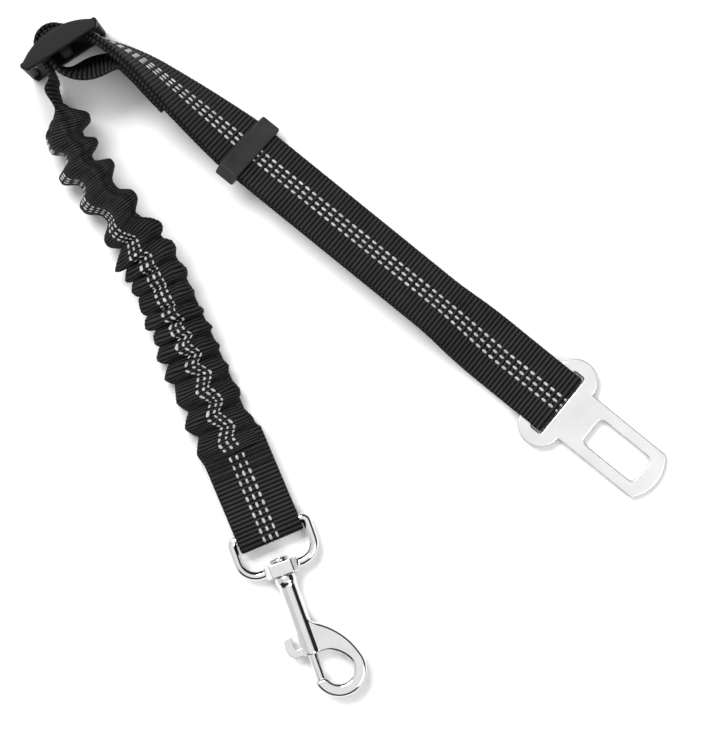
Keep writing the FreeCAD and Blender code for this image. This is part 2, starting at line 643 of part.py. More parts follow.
def snap_bolt():
    """Sliding bolt with its thumb lug."""
    rod = Part.makeCylinder(BOLT_RADIUS, BOLT_TIP - BOLT_START, Vec(BOLT_START, 0, 0), Vec(1, 0, 0))
    half = LUG_WIDTH / 2
    outline = [(LUG_START, 0), (LUG_END, 0), (LUG_END, -6.4), (LUG_END - 1.8, -8.4), (LUG_END - 4.2, -9.0)]
    outline += [(LUG_END - 8.4, -8.4), (LUG_END - 8.4, -5.2), (LUG_END - 5.0, -5.6), (LUG_START, -5.2)]
    lug = profile_solid(outline, -half, half)
    tall = [e for e in lug.Edges if abs(e.tangentAt(e.FirstParameter).z) > 0.9]
    lug = lug.makeFillet(0.5, [e for e in tall if e.CenterOfMass.y < -5.0])
    return snap_frame(rod.fuse(lug).removeSplitter())


def bolt_spring():
    """Compression spring between the rivet's shank and the bolt."""
    wire, turns = 0.25, 8
    start, end = SPRING_START + wire + 0.05, BOLT_START - wire - 0.05
    radius = BOLT_RADIUS - wire - 0.1
    helix = Part.makeHelix((end - start) / turns, end - start, radius)
    ring = Part.Wire([Part.Circle(Vec(radius, 0, 0), Vec(0, 1, 0), wire).toShape()])
    coil = Part.Wire(helix.Edges).makePipeShell([ring], True, True)
    coil.rotate(Vec(0, 0, 0), Vec(0, 1, 0), 90)
    coil.translate(Vec(start, 0, 0))
    return snap_frame(coil)


def assembly():
    """Every node, by name, where it lies before the origin is set."""
    tab = NECK_START + SLEEVE_END
    sleeve_start = NECK_START + NECK_LENGTH + JOIN_LENGTH
    bend = [webbing_layer(BEND_STATIONS[0], BEND_STATIONS[1], layer) for layer in (1.0, -1.0)]
    return {
        "tongue_plate": tongue_plate(),
        "tongue_fold": tongue_fold(),
        "webbing_tongue_bend": Part.makeCompound(bend),
        "webbing_face_layer": webbing_layer(BEND_STATIONS[1], NECK_START, 1.0),
        "webbing_back_layer": webbing_layer(BEND_STATIONS[1], BAR_STATION, -1.0),
        "adjuster_loop": adjuster_loop(),
        "loop_bartack": loop_bartack(),
        "strap_reflective_yarns": yarn_rows(BEND_STATIONS[1], BAR_STATION, 1.0, WEBBING_THICKNESS / 2),
        "keeper_ring": keeper_ring(),
        "slider_frame": slider_frame(),
        "webbing_neck": webbing_neck(),
        "sleeve_join": sleeve_join(),
        "sleeve_join_bartack": sleeve_join_bartack(),
        "bungee_sleeve": bungee_sleeve(),
        "elastic_core": elastic_core(),
        "sleeve_reflective_yarns": yarn_rows(sleeve_start, tab, 0.0, SLEEVE_THICKNESS / 2),
        "end_tab": end_tab(),
        "end_tab_bartack": end_tab_bartack(),
        "tab_reflective_yarns": tab_reflective_yarns(),
        "swivel_eye": swivel_eye(),
        "swivel_rivet": swivel_rivet(),
        "snap_body": snap_body(),
        "snap_bolt": snap_bolt(),
        "bolt_spring": bolt_spring(),
    }


def base_of(nodes):
    """The bounding box's centre, at table height."""
    whole = Part.makeCompound(list(nodes.values())).optimalBoundingBox(False)
    return Vec((whole.XMin + whole.XMax) / 2, (whole.YMin + whole.YMax) / 2, whole.ZMin)


def main():
    os.makedirs("parts", exist_ok=True)
    nodes = assembly()
    base = base_of(nodes)
    for name, shape in nodes.items():
        shape.translate(base * -1.0)
        shape.exportStep(f"parts/{name}.step")
        print(f"{name:26s} solids {len(shape.Solids):2d} valid {shape.isValid()} volume {shape.Volume:9.2f}")
    print("origin moved by", base)


if __name__ == "__main__":
    main()
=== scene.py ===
import json
import math
import random

import bpy
import numpy as np
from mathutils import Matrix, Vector


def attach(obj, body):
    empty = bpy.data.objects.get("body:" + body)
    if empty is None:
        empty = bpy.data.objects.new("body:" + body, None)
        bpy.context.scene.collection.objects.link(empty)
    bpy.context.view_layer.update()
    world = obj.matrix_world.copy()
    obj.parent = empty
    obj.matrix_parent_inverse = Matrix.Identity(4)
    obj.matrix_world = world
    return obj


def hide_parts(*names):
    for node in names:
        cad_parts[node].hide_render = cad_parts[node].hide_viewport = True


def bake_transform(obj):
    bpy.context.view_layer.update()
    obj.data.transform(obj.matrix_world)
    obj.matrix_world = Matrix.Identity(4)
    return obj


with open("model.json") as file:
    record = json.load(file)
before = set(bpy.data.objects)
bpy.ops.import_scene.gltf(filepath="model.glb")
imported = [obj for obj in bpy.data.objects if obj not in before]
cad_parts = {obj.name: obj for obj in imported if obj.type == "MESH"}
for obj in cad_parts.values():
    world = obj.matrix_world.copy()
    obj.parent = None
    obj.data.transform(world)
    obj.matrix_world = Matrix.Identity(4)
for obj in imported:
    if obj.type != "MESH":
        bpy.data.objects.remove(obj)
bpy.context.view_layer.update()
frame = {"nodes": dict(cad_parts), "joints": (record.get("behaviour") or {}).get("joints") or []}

RNG = random.Random(11)

# The leash's route and sizes, in millimetres on the table, before the origin is centred.
STRAP_START, STRAP_HEADING = (82.0, -18.4), 141.0
LEAD_STEPS = ((195.0, 0), (90.0, 12.8), (5.0, 0), (20.0, 17.0), (8.4, 0))
WRAP_RADIUS, FACE_WRAP_TURN, LOOP_WRAP_TURN = 5.75, 127.2, 129.2
LOOP_SWING, LOOP_RETURN, LOOP_LEAN = 17.0, 9.0, 16.0
BUNGEE_STEPS = ((5.0, 0), (25.0, -18.0), (8.5, 0), (65.0, 28.0), (21.0, 0), (90.0, -15.1), (103.7, 0))
TAIL_STATIONS = (184.0, 206.0)
BEND_STATIONS = (12.0, 26.0)
TWIST_START, FLAT_END = 26.0, 62.0
KEEPER_ZONE_END, CLIMB_END, TWIST_END = 155.0, 216.0, 225.0
SLIDER_HEADING, SLIDER_OFFSET = 32.8, (1.4, -1.6)
KEEPER_ROLL, KEEPER_ZONE_HEIGHT = 30.0, 10.6
NECK_LENGTH, JOIN_LENGTH = 24.0, 8.0
NECK_LEVEL = 9.0                # the neck keeps its height this far, clear of the slider's rail
SLEEVE_END, ELASTIC_END = 161.0, 173.0
UNTWIST = ((14.0, 56.0, 15.0), (56.0, 92.0, 53.0), (92.0, 145.0, 22.0))
WEBBING_WIDTH, WEBBING_THICKNESS = 25.0, 1.5
FOLD_HALF, KEEPER_HALF, WRAP_HALF = 2.25, 0.95, 0.9
FOLD_HEIGHT, SLIDER_HEIGHT, TAIL_SPACING = 3.0, 16.5, 1.8
SLEEVE_THICKNESS = 8.8
TAB_HALF, TAB_NARROW, SNAP_HEIGHT = 2.8, 1.45, 4.4
RIB = 1.6                       # spacing of the webbing's cross ribs
DASH_PITCH, DASH_LENGTH, DASH_WIDTH = 3.2, 2.0, 1.08
YARN_PITCH = 2.6
STITCH_BASE = WEBBING_THICKNESS / 2 + 0.02   # from the webbing's middle to the foot of a stitch
BACK_SHIFT = 0.6                # offset of the back layer's ribs from the face layer's


def smooth(value, start, end):
    k = np.clip((value - start) / (end - start), 0.0, 1.0)
    return k * k * (3.0 - 2.0 * k)


def ramp(value, start, end):
    return np.clip((value - start) / (end - start), 0.0, 1.0)


def arc_length(step):
    size, turn = step
    return size if turn == 0 else size * math.radians(abs(turn))


PATH_STEPS = LEAD_STEPS + ((WRAP_RADIUS, FACE_WRAP_TURN),) + BUNGEE_STEPS
BAR_STATION = sum(arc_length(s) for s in LEAD_STEPS)
NECK_START = BAR_STATION + arc_length((WRAP_RADIUS, FACE_WRAP_TURN))
PATH_END = sum(arc_length(s) for s in PATH_STEPS)


def plan(s, start=STRAP_START, heading=STRAP_HEADING, steps=PATH_STEPS):
    """Plan points (n, 2) and headings in radians at distances s along a route of steps."""
    s = np.atleast_1d(np.asarray(s, float))
    out, turned = np.zeros((len(s), 2)), np.zeros(len(s))
    done, point, angle = 0.0, np.array(start, float), math.radians(heading)
    for k, (size, turn) in enumerate(steps):
        length = arc_length((size, turn))
        here = (s >= done - 1e-9) if k else np.ones(len(s), bool)
        if k < len(steps) - 1:
            here &= s < done + length
        run = s[here] - done
        if turn == 0:
            out[here] = point + run[:, None] * np.array([math.cos(angle), math.sin(angle)])
            turned[here] = angle
            point = point + length * np.array([math.cos(angle), math.sin(angle)])
        else:
            side = math.copysign(1.0, turn)
            centre = point + side * size * np.array([-math.sin(angle), math.cos(angle)])
            now = angle + side * run / size
            out[here] = centre - side * size * np.stack([-np.sin(now), np.cos(now)], 1)
            turned[here] = now
            angle += math.radians(turn)
            point = centre - side * size * np.array([-math.sin(angle), math.cos(angle)])
        done += length
    return out, turned


def roll_at(s):
    """Lean of the webbing's face in degrees: 0 is flat, 90 is on edge."""
    lead = KEEPER_ROLL * smooth(s, TWIST_START, FLAT_END)
    lead = lead + (90.0 - KEEPER_ROLL) * ramp(s, KEEPER_ZONE_END, TWIST_END)
    bungee = 90.0 - sum(turn * smooth(s - NECK_START, start, end) for start, end, turn in UNTWIST)
    return np.where(s < BAR_STATION, lead, bungee)


def height_at(s):
    lead = FOLD_HEIGHT + (KEEPER_ZONE_HEIGHT - FOLD_HEIGHT) * smooth(s, TWIST_START, FLAT_END)
    lead = lead + (SLIDER_HEIGHT - KEEPER_ZONE_HEIGHT) * ramp(s, KEEPER_ZONE_END, CLIMB_END)
    lean = np.radians(roll_at(s))
    lying = WEBBING_WIDTH / 2 * np.sin(lean) + SLEEVE_THICKNESS / 2 * np.cos(lean)
    k = smooth(s - NECK_START, NECK_LEVEL, NECK_LENGTH)
    return np.where(s < NECK_START, lead, SLIDER_HEIGHT * (1.0 - k) + lying * k)


def half_gap_at(s):
    near = FOLD_HALF + (KEEPER_HALF - FOLD_HALF) * smooth(s, 14.0, 40.0)
    near = near + (WRAP_HALF - KEEPER_HALF) * ramp(s, KEEPER_ZONE_END, TWIST_END)
    return near * (1.0 - smooth(s - NECK_START, 0.0, NECK_LENGTH))


def frames_of(points, headings, rolls, heights):
    """Centres, across and normal vectors, each (n, 3)."""
    a = np.radians(rolls)
    left = np.stack([-np.sin(headings), np.cos(headings), np.zeros(len(headings))], 1)
    up = np.array([0.0, 0.0, 1.0])
    across = left * np.cos(a)[:, None] + up * np.sin(a)[:, None]
    normal = up * np.cos(a)[:, None] - left * np.sin(a)[:, None]
    return np.column_stack([points, heights]), across, normal


def path_frames(s, layer=0.0):
    s = np.asarray(s, float)
    points, headings = plan(s)
    centre, across, normal = frames_of(points, headings, roll_at(s), height_at(s))
    return centre + normal * (layer * half_gap_at(s))[:, None], across, normal


def wrap_centre():
    points, headings = plan([BAR_STATION])
    left = np.array([-math.sin(headings[0]), math.cos(headings[0])])
    return points[0] + left * WRAP_RADIUS, headings[0]


def table_origin():
    """Where the frame's origin lies on the table: the slider's hinge is its middle bar."""
    centre, _ = wrap_centre()
    h = math.radians(SLIDER_HEADING)
    bar = centre + SLIDER_OFFSET[0] * np.array([math.cos(h), math.sin(h)])
    bar = bar + SLIDER_OFFSET[1] * np.array([-math.sin(h), math.cos(h)])
    joint = next(j for j in frame["joints"] if j["name"] == "slider_tilt")
    return np.array([bar[0], bar[1], SLIDER_HEIGHT]) - 1000.0 * np.array(joint["pos_m"])


ORIGIN = table_origin()

# ---- meshes -------------------------------------------------------------------------------


def new_mesh(name, points, faces, material, uv=None, smooth_shade=True):
    """Mesh object from millimetre points in the route's frame. uv is one (u, v) per point."""
    mesh = bpy.data.meshes.new(name)
    mesh.from_pydata(((np.asarray(points) - ORIGIN) / 1000.0).tolist(), [], faces)
    if uv is not None:
        layer = mesh.uv_layers.new(name="cloth")
        index = np.zeros(len(mesh.loops), int)
        mesh.loops.foreach_get("vertex_index", index)
        layer.data.foreach_set("uv", (np.asarray(uv)[index] / 1000.0).astype(np.float32).ravel())
    mesh.validate()
    mesh.polygons.foreach_set("use_smooth", [smooth_shade] * len(mesh.polygons))
    obj = bpy.data.objects.new(name, mesh)
    bpy.context.scene.collection.objects.link(obj)
    obj.data.materials.append(material)
    return obj


def tube_faces(rows, cols, base=0, caps=True):
    """Faces of a closed tube of rows rings of cols points."""
    faces = []
    for r in range(rows - 1):
        for c in range(cols):
            d = (c + 1) % cols
            a, b = base + r * cols, base + (r + 1) * cols
            faces.append((a + c, a + d, b + d, b + c))
    if caps:
        faces.append(tuple(base + c for c in reversed(range(cols))))
        faces.append(tuple(base + (rows - 1) * cols + c for c in range(cols)))
    return faces


def rib_height(u):
    """0 in a groove to 1 on a rib's crest; every second groove is shallower."""
    k = np.abs((u / RIB) % 1.0 - 0.5) * 2.0
    shallow = ((np.floor(u / RIB + 0.5) % 2) > 0.5)
    crest = np.clip(1.0 - k ** 1.7, 0.0, 1.0) ** 0.7
    return np.where(shallow, 1.0 - 0.62 * (1.0 - crest), crest)


def strip_section(width, thickness, flat=15, turn=7):
    """Outline of webbing: (across, normal, outward across, outward normal, lateral v)."""
    r = thickness / 2
    xs = np.linspace(width / 2 - r * 0.8, -(width / 2 - r * 0.8), flat)
    top = [(x, r, 0.0, 1.0, x) for x in xs]
    left = []
    for a in np.linspace(0, math.pi, turn + 2)[1:-1]:
        edge = -(width / 2 - r * 0.8) - 0.8 * r * math.sin(a)
        left.append((edge, r * math.cos(a), -math.sin(a), math.cos(a)))
    left = [(*p, -width / 2 - r * k / turn) for k, p in enumerate(left)]
    bottom = [(-x, -r, 0.0, -1.0, x) for x in xs]
    right = [(-p[0], -p[1], -p[2], -p[3], -p[4]) for p in left]
    bottom = [(p[0], p[1], p[2], p[3], p[0]) for p in bottom]
    return np.array(top + left + bottom + right)


def strip(name, centre, across, normal, u, material, width=WEBBING_WIDTH, thickness=WEBBING_THICKNESS,
          ribs=0.2, cup=0.0):
    """Ribbed webbing through the stations; u is the distance along the cloth, cup how far its edges curl."""
    section = strip_section(width, thickness)
    u = np.asarray(u, float)
    rib = (rib_height(u) - 0.65) * ribs
    x = section[:, 0][None, :] + section[:, 2][None, :] * rib[:, None] * 0.8
    z = section[:, 1][None, :] + section[:, 3][None, :] * rib[:, None]
    z = z + np.reshape(cup, (-1, 1)) * (2.0 * x / width) ** 2
    pts = centre[:, None, :] + across[:, None, :] * x[:, :, None] + normal[:, None, :] * z[:, :, None]
    rows, cols = x.shape
    side = np.where(section[:, 3] < -0.1, 40.0, 0.0)
    uv = np.stack([np.repeat(u, cols), np.tile(section[:, 4] + side, rows)], 1)
    return new_mesh(name, pts.reshape(-1, 3), tube_faces(rows, cols), material, uv)


def spaced(a, b, step=0.27):
    return np.linspace(a, b, max(3, int(abs(b - a) / step) + 1))


def pillow(u0, v0, length, width, height, rows, faces, count=(7, 6)):
    """Adds one raised stitch, as cloth coordinates (u, v, h), to rows and faces."""
    base = len(rows)
    nu, nv = count
    for i in range(nu):
        a = math.pi * i / (nu - 1)
        du = -math.cos(a) * length / 2
        reach = max(math.sin(a), 0.0) ** 0.55
        for j in range(nv):
            b = math.pi * j / (nv - 1)
            v = v0 - math.cos(b) * width / 2 * max(reach, 0.12)
            rows.append((u0 + du, v, math.sin(b) * height * max(reach, 0.1)))
    for i in range(nu - 1):
        for j in range(nv - 1):
            k = base + i * nv + j
            faces.append((k, k + nv, k + nv + 1, k + 1))


def dashes(name, points_at, u_range, material, rows=(-1, 0, 1), jitter=0.0, lift=0.0):
    """Rows of reflective yarn showing as dashes on the face."""
    spots, faces = [], []
    first = math.floor(u_range[0] / DASH_PITCH)
    for row in rows:
        for k in range(first, int(u_range[1] / DASH_PITCH) + 1):
            u0 = k * DASH_PITCH + 0.25 * RIB
            if not u_range[0] <= u0 < u_range[1]:
                continue
            long = DASH_LENGTH * (1 + jitter * RNG.uniform(-1, 1))
            wide = DASH_WIDTH * (1 + jitter * RNG.uniform(-1, 1))
            pillow(u0, row * YARN_PITCH, long, wide, 0.34, spots, faces)
    spots = np.array(spots)
    pts = points_at(spots[:, 0], spots[:, 1], spots[:, 2] + lift)
    uv = spots[:, :2]
    return new_mesh(name, pts, faces, material, uv)


# ---- materials ----------------------------------------------------------------------------


def material(name):
    m = bpy.data.materials.new(name)
    m.use_nodes = True
    m.node_tree.nodes.clear()
    return m, m.node_tree


class Nodes:
    """Short way to build a node tree."""

    def __init__(self, tree):
        self.tree = tree
        self.out = self.add("ShaderNodeOutputMaterial")
        self.bsdf = self.add("ShaderNodeBsdfPrincipled")
        self.link(self.bsdf, "BSDF", self.out, "Surface")

    def add(self, kind, **settings):
        node = self.tree.nodes.new(kind)
        for key, value in settings.items():
            setattr(node, key, value)
        return node

    def link(self, a, out, b, into):
        self.tree.links.new(a.outputs[out], b.inputs[into])

    def maths(self, operation, a, b=0.0, c=0.0):
        node = self.add("ShaderNodeMath", operation=operation)
        for k, value in enumerate((a, b, c)):
            if isinstance(value, tuple):
                self.link(value[0], value[1], node, k)
            else:
                node.inputs[k].default_value = value
        return (node, "Value")

    def ramp(self, source, stops):
        node = self.add("ShaderNodeValToRGB")
        self.link(source[0], source[1], node, "Fac")
        ramp = node.color_ramp
        while len(ramp.elements) < len(stops):
            ramp.elements.new(0.5)
        for element, (at, colour) in zip(ramp.elements, stops):
            element.position = at
            element.color = (*colour, 1.0) if len(colour) == 3 else colour
        return (node, "Color")

    def noise(self, scale, detail=3.0, rough=0.5, vector=None):
        node = self.add("ShaderNodeTexNoise")
        node.inputs["Scale"].default_value = scale
        node.inputs["Detail"].default_value = detail
        node.inputs["Roughness"].default_value = rough
        if vector:
            self.link(vector[0], vector[1], node, "Vector")
        return (node, "Fac")

    def bump(self, height, distance, strength=1.0, normal=None):
        node = self.add("ShaderNodeBump")
        node.inputs["Distance"].default_value = distance
        node.inputs["Strength"].default_value = strength
        self.link(height[0], height[1], node, "Height")
        if normal:
            self.link(normal[0], normal[1], node, "Normal")
        return (node, "Normal")

    def set(self, **values):
        for key, value in values.items():
            self.bsdf.inputs[key.replace("_", " ")].default_value = value


def cloth_material(name, dark, light):
    """Black ribbed nylon: painted shade darkens the grooves, the crests lighter from part dust, part painted
    sheen; warp threads along each rib.
    """
    m, tree = material(name)
    n = Nodes(tree)
    uv = n.add("ShaderNodeUVMap", uv_map="cloth")
    split = n.add("ShaderNodeSeparateXYZ")
    n.link(uv, "UV", split, "Vector")
    u, v = (split, "X"), (split, "Y")
    through = n.maths("FRACT", n.maths("MULTIPLY", u, 1000.0 / RIB))
    rib = n.maths("ABSOLUTE", n.maths("SUBTRACT", through, 0.5))
    crest = n.maths("SUBTRACT", 1.0, n.maths("POWER", n.maths("MULTIPLY", rib, 2.0), 1.25))
    thread = n.maths("SINE", n.maths("MULTIPLY", v, 2 * math.pi * 1000.0 / 0.62))
    grain = n.add("ShaderNodeCombineXYZ")
    n.link(*n.maths("MULTIPLY", u, 1.0), grain, "X")
    n.link(*n.maths("MULTIPLY", v, 1.0), grain, "Y")
    speckle = n.noise(1900.0, 3.0, 0.6, (grain, "Vector"))
    broad = n.noise(90.0, 2.0, 0.5, (grain, "Vector"))
    # Painted shade: the ramp below darkens the grooves between ribs, and lightens the crests as part dust,
    # part painted sheen.
    shade = n.maths("MULTIPLY", crest, n.maths("MULTIPLY_ADD", thread, 0.16, 0.84))
    shade = n.maths("MULTIPLY", shade, n.maths("MULTIPLY_ADD", speckle, 0.9, 0.5))
    shade = n.maths("MULTIPLY", shade, n.maths("MULTIPLY_ADD", broad, 0.5, 0.72))
    middle = tuple(0.4 * (a + b) for a, b in zip(dark, light))
    n.link(*n.ramp(shade, ((0.12, dark), (0.45, middle), (0.95, light))),
           n.bsdf, "Base Color")
    height = n.maths("ADD", n.maths("MULTIPLY", thread, 0.35), n.maths("MULTIPLY", speckle, 0.9))
    n.link(*n.bump(height, 0.00014, 0.9), n.bsdf, "Normal")
    n.link(*n.maths("MULTIPLY_ADD", speckle, -0.2, 0.75), n.bsdf, "Roughness")
    n.set(Specular_IOR_Level=0.05)
    return m


def yarn_material():
    m, tree = material("reflective_yarn")
    n = Nodes(tree)
    uv = n.add("ShaderNodeUVMap", uv_map="cloth")
    grain = n.noise(2600.0, 2.0, 0.6, (uv, "UV"))
    broad = n.noise(160.0, 1.0, 0.5, (uv, "UV"))
    mix = n.maths("MULTIPLY_ADD", broad, 0.5, n.maths("MULTIPLY", grain, 0.5))
    n.link(*n.ramp(mix, ((0.25, (0.22, 0.22, 0.22)), (0.6, (0.5, 0.5, 0.49)), (1.0, (0.72, 0.72, 0.7)))),
           n.bsdf, "Base Color")
    n.link(*n.bump(grain, 0.0001, 0.6), n.bsdf, "Normal")
    n.link(*n.maths("MULTIPLY_ADD", grain, 0.2, 0.38), n.bsdf, "Roughness")
    n.set(Metallic=0.0, Specular_IOR_Level=0.6)
    return m


def thread_material():
    m, tree = material("black_thread")
    n = Nodes(tree)
    where = n.add("ShaderNodeTexCoord")
    grain = n.noise(3500.0, 2.0, 0.6, (where, "Object"))
    n.link(*n.ramp(grain, ((0.3, (0.002, 0.002, 0.002)), (0.8, (0.02, 0.02, 0.021)))), n.bsdf, "Base Color")
    n.link(*n.bump(grain, 0.0001, 0.7), n.bsdf, "Normal")
    n.link(*n.maths("MULTIPLY_ADD", grain, 0.2, 0.42), n.bsdf, "Roughness")
    n.set(Specular_IOR_Level=0.15)
    return m


def plastic_material(name, tone, rough, specular):
    """Moulded black plastic: fine texture, its tone varying in broad random patches."""
    m, tree = material(name)
    n = Nodes(tree)
    where = n.add("ShaderNodeTexCoord")
    fine = n.noise(2400.0, 3.0, 0.6, (where, "Object"))
    broad = n.noise(110.0, 2.0, 0.5, (where, "Object"))
    low = tuple(0.7 * c for c in tone)
    high = tuple(1.35 * c for c in tone)
    n.link(*n.ramp(broad, ((0.25, low), (0.55, tone), (0.85, high))), n.bsdf, "Base Color")
    n.link(*n.bump(fine, 0.00003, 0.7), n.bsdf, "Normal")
    n.link(*n.maths("MULTIPLY_ADD", broad, 0.16, rough - 0.06), n.bsdf, "Roughness")
    n.set(Specular_IOR_Level=specular)
    return m


def metal_material(name, tone, rough, wear=0.5, scratches=0.00002, metallic=1.0):
    m, tree = material(name)
    n = Nodes(tree)
    where = n.add("ShaderNodeTexCoord")
    stretch = n.add("ShaderNodeMapping")
    stretch.inputs["Scale"].default_value = (1.0, 6.0, 1.0)
    n.link(where, "Object", stretch, "Vector")
    fine = n.noise(1600.0, 3.0, 0.6, (stretch, "Vector"))
    broad = n.noise(140.0, 3.0, 0.55, (where, "Object"))
    low = tuple((1 - 0.14 * wear) * c for c in tone)
    n.link(*n.ramp(broad, ((0.3, low), (0.65, tone))), n.bsdf, "Base Color")
    n.link(*n.bump(fine, scratches, 0.5), n.bsdf, "Normal")
    n.link(*n.maths("MULTIPLY_ADD", broad, 0.12 * wear, rough), n.bsdf, "Roughness")
    n.set(Metallic=metallic)
    return m


WEBBING = cloth_material("black_webbing", (0.0002, 0.0002, 0.0002), (0.048, 0.048, 0.049))
SLEEVE = cloth_material("gathered_webbing", (0.0002, 0.0002, 0.0002), (0.042, 0.042, 0.043))
ELASTIC = cloth_material("elastic_band", (0.002, 0.002, 0.002), (0.05, 0.05, 0.05))
YARN = yarn_material()
THREAD = thread_material()
SLIDER_PLASTIC = plastic_material("slider_plastic", (0.006, 0.006, 0.0063), 0.46, 0.16)
KEEPER_PLASTIC = plastic_material("keeper_plastic", (0.026, 0.026, 0.027), 0.5, 0.2)
TONGUE_STEEL = metal_material("tongue_steel", (0.74, 0.74, 0.74), 0.3, 0.5)
CHROME = metal_material("bright_chrome", (0.78, 0.78, 0.79), 0.07, 0.5, 0.000008)
RIVET_STEEL = metal_material("rivet_steel", (0.7, 0.7, 0.7), 0.16, 0.8)
SPRING_STEEL = metal_material("spring_steel", (0.55, 0.55, 0.55), 0.3)


def done(obj, body, slot, *nodes):
    """The piece rides a body and stands for CAD nodes; slot is not used."""
    if body:
        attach(obj, body)
    if nodes:
        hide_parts(*nodes)
    return obj


# ---- main strap ---------------------------------------------------------------------------

s = spaced(BEND_STATIONS[1], NECK_START)
done(strip("strap_face_layer", *path_frames(s, 1.0), s, WEBBING), "strap", "webbing", "webbing_face_layer")
s = spaced(BEND_STATIONS[1], BAR_STATION)
piece = strip("strap_back_layer", *path_frames(s, -1.0), s + BACK_SHIFT, WEBBING)
done(piece, "strap", "webbing", "webbing_back_layer")


def bend_point(s):
    points, _ = plan([s])
    return ((np.array([points[0][0], points[0][1], FOLD_HEIGHT]) - ORIGIN) / 1000.0).tolist()


s = spaced(BEND_STATIONS[1], BEND_STATIONS[0])
for label, layer, shift in (("face", 1.0, 0.0), ("back", -1.0, BACK_SHIFT)):
    piece = strip(f"tongue_bend_{label}", *path_frames(s, layer), s + shift, WEBBING)
    done(piece, None, "webbing", "webbing_tongue_bend")
    bend_point(BEND_STATIONS[1])
    bend_point(BEND_STATIONS[0])
    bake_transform(piece)


def face_point(u, v, h):
    centre, across, normal = path_frames(u, 1.0)
    return centre + across * v[:, None] + normal * (STITCH_BASE + h)[:, None]


piece = dashes("strap_yarn", face_point, (BEND_STATIONS[1], NECK_START - 4.0), YARN, jitter=0.06)
done(piece, "strap", "reflective_yarn", "strap_reflective_yarns")
piece = dashes("tongue_bend_yarn", face_point, BEND_STATIONS, YARN, jitter=0.06)
done(piece, None, "reflective_yarn")
bend_point(BEND_STATIONS[1])
bend_point(BEND_STATIONS[0])
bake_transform(piece)

# ---- fold round the tongue ----------------------------------------------------------------


def fold_line(t, half, reach):
    """Side view of a fold: t runs below 0 on the face layer, round the end, and on along the back.

    Returns along, height and the outward angle.
    """
    quarter = math.pi * half / 2
    along, height, angle = np.zeros(len(t)), np.zeros(len(t)), np.zeros(len(t))
    top, low = t < -quarter, t > quarter
    turn = ~top & ~low
    along[top], height[top], angle[top] = reach - half + (t[top] + quarter), half, math.pi / 2
    along[low], height[low], angle[low] = reach - half - (t[low] - quarter), -half, -math.pi / 2
    a = -t[turn] / half
    along[turn], height[turn], angle[turn] = reach - half + half * np.cos(a), half * np.sin(a), a
    return along, height, angle


def fold_frames(t, origin, heading, half, reach, height0, squeeze=None):
    along, height, angle = fold_line(t, half, reach)
    if squeeze is not None:
        height = height * squeeze(along)
    h = math.radians(heading)
    forward = np.array([math.cos(h), math.sin(h), 0.0])
    left = np.array([-math.sin(h), math.cos(h), 0.0])
    up = np.array([0.0, 0.0, 1.0])
    centre = np.array(origin) + along[:, None] * forward + (height0 + height)[:, None] * up
    normal = np.cos(angle)[:, None] * forward + np.sin(angle)[:, None] * up
    return centre, np.repeat(left[None], len(t), 0), normal


quarter = math.pi * FOLD_HALF / 2
arm = BEND_STATIONS[0] - (FOLD_HALF + WEBBING_THICKNESS / 2)
t = spaced(-arm - quarter, arm + quarter, 0.2)
tongue_origin = np.array([STRAP_START[0], STRAP_START[1], 0.0])


def tongue_fold_frames(t):
    reach = -WEBBING_THICKNESS / 2
    return fold_frames(t, tongue_origin, STRAP_HEADING - 180.0, FOLD_HALF, reach, FOLD_HEIGHT)


piece = strip("tongue_fold_cloth", *tongue_fold_frames(t), BEND_STATIONS[0] + t[0] - t, WEBBING)
done(piece, "tongue", "webbing", "tongue_fold")


def tongue_fold_point(u, v, h):
    c, w, n = tongue_fold_frames(BEND_STATIONS[0] + (-arm - quarter) - u)
    return c - w * v[:, None] + n * (STITCH_BASE + h)[:, None]


span = BEND_STATIONS[0] - arm - 2.2 * quarter, BEND_STATIONS[0]
piece = dashes("tongue_fold_yarn", tongue_fold_point, span, YARN)
done(piece, "tongue", "reflective_yarn")

# ---- loop on the slider's middle bar ------------------------------------------------------


def loop_frames():
    centre, heading = wrap_centre()
    inner = WRAP_RADIUS - WRAP_HALF
    left = np.array([-math.sin(heading), math.cos(heading)])
    run = spaced(0.0, inner * math.radians(LOOP_WRAP_TURN), 0.27)
    points, headings = plan(run, centre - left * inner, math.degrees(heading), ((inner, LOOP_WRAP_TURN),))
    wrap = frames_of(points, headings, np.full(len(run), 90.0), np.full(len(run), SLIDER_HEIGHT))
    tail_s = spaced(TAIL_STATIONS[1], TAIL_STATIONS[0], 0.27)
    c, w, n = path_frames(tail_s, -1.0)
    tail = (c - n * TAIL_SPACING, w, -n)
    arrive = tail[0][8] - tail[0][0]
    arrive = arrive / np.linalg.norm(arrive)
    leave = np.array([math.cos(headings[-1]), math.sin(headings[-1]), 0.0])
    p0, p3 = wrap[0][-1], tail[0][0]
    p1, p2 = p0 + leave * LOOP_SWING, p3 - arrive * LOOP_RETURN
    k = np.linspace(0, 1, 150)[1:-1, None]
    curve = (1 - k) ** 3 * p0 + 3 * (1 - k) ** 2 * k * p1 + 3 * (1 - k) * k ** 2 * p2 + k ** 3 * p3
    slope = 3 * (1 - k) ** 2 * (p1 - p0) + 6 * (1 - k) * k * (p2 - p1) + 3 * k ** 2 * (p3 - p2)
    end_roll = 180.0 - float(roll_at(np.array([TAIL_STATIONS[1]]))[0])
    rolls = 90.0 + (end_roll - 90.0) * smooth(k[:, 0], 0, 1) + LOOP_LEAN * np.sin(math.pi * k[:, 0]) ** 2
    free = frames_of(curve[:, :2], np.arctan2(slope[:, 1], slope[:, 0]), rolls, curve[:, 2])
    c, w, n = (np.concatenate([a, b, d]) for a, b, d in zip(wrap, free, tail))
    u = np.concatenate([[0.0], np.cumsum(np.linalg.norm(np.diff(c, axis=0), axis=1))])
    return c, w, n, u


